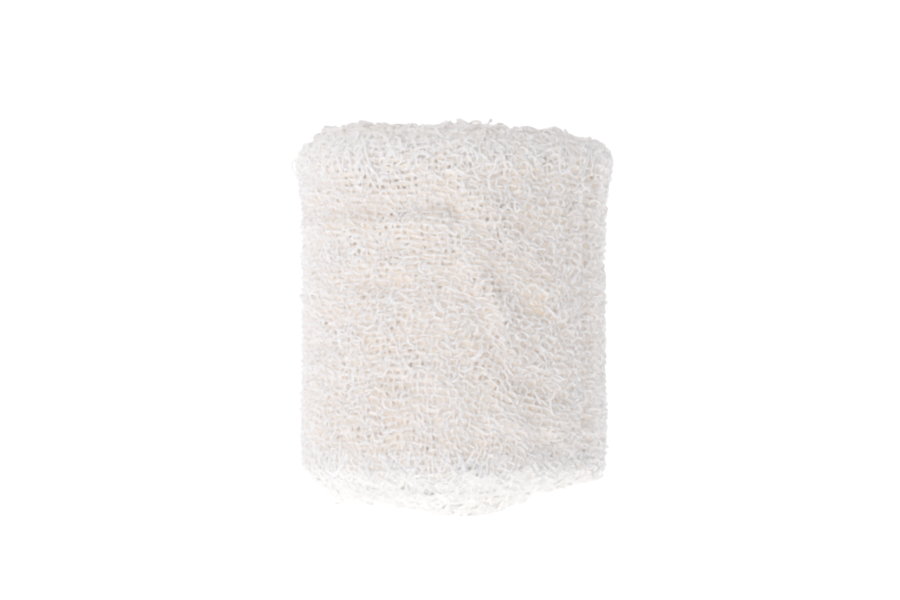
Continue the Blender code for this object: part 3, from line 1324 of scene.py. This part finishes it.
@dataclass
class SideCurls:
    """Short curls where the twisted yarns spring out of the side."""

    name: str = "side_curls"
    density: float = 0.1
    seed: int = 11
    radius: float = YARN_RADIUS
    steps: int = 7
    turn: float = 1.15
    low: float = 12.0
    high: float = 69.0
    longest: float = 1.6
    spring: float = 0.9
    lift: float = 0.0
    half_length: float = 0.95
    half_width: float = 0.55
    middle_rise: float = 0.45
    tilt: float = 0.35
    shortest: float = 0.7
    narrowest: float = 0.5

    def curl(self, graph: MadeOnRoll) -> Value:
        """One curl, lying on the skin at the origin with both ends under it.

        Args:
            graph: The tree to add to.

        Returns:
            The curl's mesh.
        """
        line = graph.line((-1.0, 0.0, 0.0), (1.0, 0.0, 0.0), self.steps)
        share, _, _ = graph.parts(graph.place())
        angle = share * (math.pi / 2) * self.turn
        place = graph.joined(
            graph.math("SINE", angle) * self.half_length * MM,
            graph.math("COSINE", angle) * self.half_width * MM,
            ((self.middle_rise - share * share) * self.spring + self.lift) * MM,
        )
        return graph.tube(graph.moved(line, place), self.radius)

    def make(self, material: bpy.types.Material) -> bpy.types.Object:
        """Scatters the curls over the roll's side.

        Args:
            material: The yarn's finish.

        Returns:
            The curls as one mesh.
        """
        graph = MadeOnRoll(self.name)
        _, _, z = graph.parts(graph.place())
        compare = "FunctionNodeCompare"
        above = graph.value(compare, {"operation": "GREATER_THAN"}, {"A": z, "B": self.low * MM})
        below = graph.value(compare, {"operation": "LESS_THAN"}, {"A": z, "B": self.high * MM})
        both = graph.value("FunctionNodeBooleanMath", {"operation": "AND"}, {0: above, 1: below})
        scatter = graph.node(
            "GeometryNodeDistributePointsOnFaces",
            {"distribute_method": "RANDOM"},
            {
                "Mesh": graph.roll_shape,
                "Selection": both,
                "Density": graph.size("Density", self.density / MM**2),
                "Seed": graph.count("Seed", self.seed),
            },
        )
        points, facing = (Value(graph, scatter.outputs[name]) for name in ("Points", "Rotation"))
        index = graph.value("GeometryNodeInputIndex")
        seed = self.seed + 1
        turn = graph.joined(
            graph.random(-self.tilt, self.tilt, index, seed + 1),
            graph.random(-self.tilt, self.tilt, index, seed + 2),
            graph.random(0.0, math.tau, index, seed),
        )
        turn = graph.value("FunctionNodeEulerToRotation", None, {0: turn})
        turned = {"Rotation": facing, "Rotate By": turn}
        facing = graph.value("FunctionNodeRotateRotation", {"rotation_space": "LOCAL"}, turned)
        size = graph.joined(
            graph.random(self.shortest, self.longest, index, seed + 3),
            graph.random(self.narrowest, self.longest, index, seed + 4),
            1.0,
        )
        return graph.made(graph.scattered(points, self.curl(graph), facing, size), material)


# The studio


@dataclass
class Studio:
    """The pale ground, the soft light and the camera."""

    distance: float = 0.68
    eye_height: float = 0.0402
    eye_x: float = -0.00045
    lens: float = 145.07
    sensor: float = 36.0
    nearest: float = 0.05
    lit_place: tuple[float, float, float] = (0.0, 0.0, 0.035)
    light_color: tuple[float, float, float] = (0.98, 0.97, 1.0)
    gamma: float = 1.85
    softness: float = 2.4
    bounces: int = 12

    def make_floor(self) -> None:
        """A flat ground that sweeps up far behind the roll, so that no horizon shows."""
        half_width, front, bend, radius, top, steps = 2.0, -2.0, 0.9, 0.6, 2.2, 14
        profile = [(front, 0.0), (bend, 0.0)]
        profile += [
            (bend + radius * math.sin(t), radius * (1 - math.cos(t)))
            for t in np.linspace(0.1, math.pi / 2, steps)
        ]
        profile.append((bend + radius, top))
        vertices = [(x, y, z) for y, z in profile for x in (-half_width, half_width)]
        faces = [(2 * i, 2 * i + 1, 2 * i + 3, 2 * i + 2) for i in range(len(profile) - 1)]
        mesh = bpy.data.meshes.new("ground")
        mesh.from_pydata(vertices, [], faces)
        mesh.materials.append(PaleGround("pale_floor", glow=0.5).make())
        mesh.materials.append(PaleGround("pale_backdrop", glow=0.7).make())
        for polygon in mesh.polygons[1:]:
            polygon.material_index = 1
        mesh.shade_smooth()
        added("ground", mesh)

    def make_camera(self) -> None:
        """A level camera in front of the roll."""
        data = bpy.data.cameras.new("camera")
        data.lens = self.lens
        data.sensor_width = self.sensor
        data.clip_start = self.nearest
        camera = added("camera", data)
        camera.location = (self.eye_x, -self.distance, self.eye_height)
        camera.rotation_euler = (math.pi / 2, 0.0, 0.0)
        bpy.context.scene.camera = camera

    def make_lamp(self, name: str, place: tuple, size: float, power: float) -> None:
        """Adds one soft lamp.

        Args:
            name: The lamp's name.
            place: Where it hangs, in metres.
            size: The side of its square, in metres.
            power: Its power in watts.
        """
        data = bpy.data.lights.new(name, "AREA")
        data.size = size
        data.energy = power
        data.color = self.light_color
        lamp = added(name, data)
        lamp.location = place
        toward = Vector(self.lit_place) - Vector(place)
        lamp.rotation_euler = toward.to_track_quat("-Z", "Y").to_euler()

    def make_lights(self) -> None:
        """Lights the roll from low on the left, over a bright surround."""
        world = bpy.data.worlds.new("studio")
        world.use_nodes = True
        background = world.node_tree.nodes["Background"]
        background.inputs["Color"].default_value = (0.965, 0.97, 1.0, 1.0)
        background.inputs["Strength"].default_value = 0.03
        bpy.context.scene.world = world
        self.make_lamp("key", (-0.93, -0.85, 0.36), size=1.1, power=6.2)
        self.make_lamp("top_light", (-0.1, -0.15, 1.1), size=0.8, power=5.6)
        self.make_lamp("rim_light", (0.82, 0.82, 0.1), size=0.7, power=2.6)

    def make(self) -> None:
        """Builds the whole studio."""
        self.make_floor()
        self.make_camera()
        self.make_lights()
        scene = bpy.context.scene
        scene.view_settings.view_transform = "Standard"
        scene.view_settings.look = "None"
        scene.view_settings.exposure = 0.0
        scene.view_settings.gamma = self.gamma
        scene.cycles.filter_width = self.softness
        scene.cycles.diffuse_bounces = self.bounces


class Bandage:
    """The whole bandage, piece by piece."""

    def __init__(self) -> None:
        """Reads the skin and sets up the strip."""
        self.skin = Skin()
        self.cloth = WoundCloth(self.skin)

    def dressed(self) -> tuple[tuple[Finish, tuple], ...]:
        """What makes the pieces of each finish, in order, the wound cloth first."""
        warp, weft = YarnWay.WARP, YarnWay.WEFT
        side = (
            YarnNet("outer_warp", warp),
            YarnNet("outer_weft", weft),
            HangingLoops("rim_loops_outer", 12.6, 5.6, 3, spacing=1.15),
            LoneLoops(self.skin),
            SideCurls(lift=-0.25),
        )
        pads = (
            PadNet("base_pad", warp, 0.85, low=-14.0, high=11.2),
            PadNet("base_pad_weft", weft, 0.95, low=-14.0, high=11.2),
            PadNet("rim_pad", warp, 1.3, low=67.0, high=85.0),
        )
        curled = {"low": -1.0, "high": 8.6, "longest": 2.2, "spring": 0.5, "lift": -0.15}
        stood = {"height": -0.2, "root": -1.9, "radius": 0.25}
        base = (
            HangingLoops("rim_loops_second", 8.4, 5.2, 13, 0.2, spacing=1.1, radius=0.24),
            HangingLoops("rim_loops_third", 5.0, 5.0, 23, 0.3, spacing=0.9, radius=0.26),
            HangingLoops("rim_loops_fourth", 1.5, 5.0, 33, 0.3, spacing=1.3, radius=0.26),
            EdgeLoops("base_edge_loops", Side.BASE, 6, width=0.9, **stood),
            SideCurls("base_curls", 0.5, 91, 0.25, **curled),
        )
        curled = {"low": 64.0, "high": 80.0, "longest": 2.4, "spring": 0.65, "lift": -0.35}
        rim = (
            HangingLoops("top_loops_outer", 65.6, -3.6, 43, 0.3, spacing=1.1),
            HangingLoops("top_loops_second", 68.4, -3.4, 53, 0.6, spacing=1.2),
            EdgeLoops("top_edge_loops", Side.TOP, 5, height=-0.25, root=-2.0),
            SideCurls("top_curls", 0.26, 71, **curled),
        )
        return (
            (ShadedCloth(), (self.cloth,)),
            (CottonYarn(), side),
            (InnerYarn(), (UnderNet("under_warp", warp), UnderNet("under_weft", weft))),
            (PadYarn(), pads),
            (BaseYarn(), base),
            (RimYarn(), rim),
        )

    def make(self) -> None:
        for finish, makers in self.dressed():
            material = finish.make()
            for maker in makers:
                piece = maker.make(material)
                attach(piece, BODY)
                LOG.info("%s: %d faces", piece.name, len(piece.data.polygons))
        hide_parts(ROLL_NODE)
        flat = (self.cloth.width * MM, self.cloth.length * MM)
        LOG.info("cloth cut %.0f x %.0f mm", self.cloth.width, self.cloth.length)


def main() -> None:
    """Builds the bandage and its studio."""
    logging.basicConfig(level=logging.INFO, format="%(name)s %(message)s")
    Bandage().make()
    Studio().make()


if __name__ == "__main__":
    main()
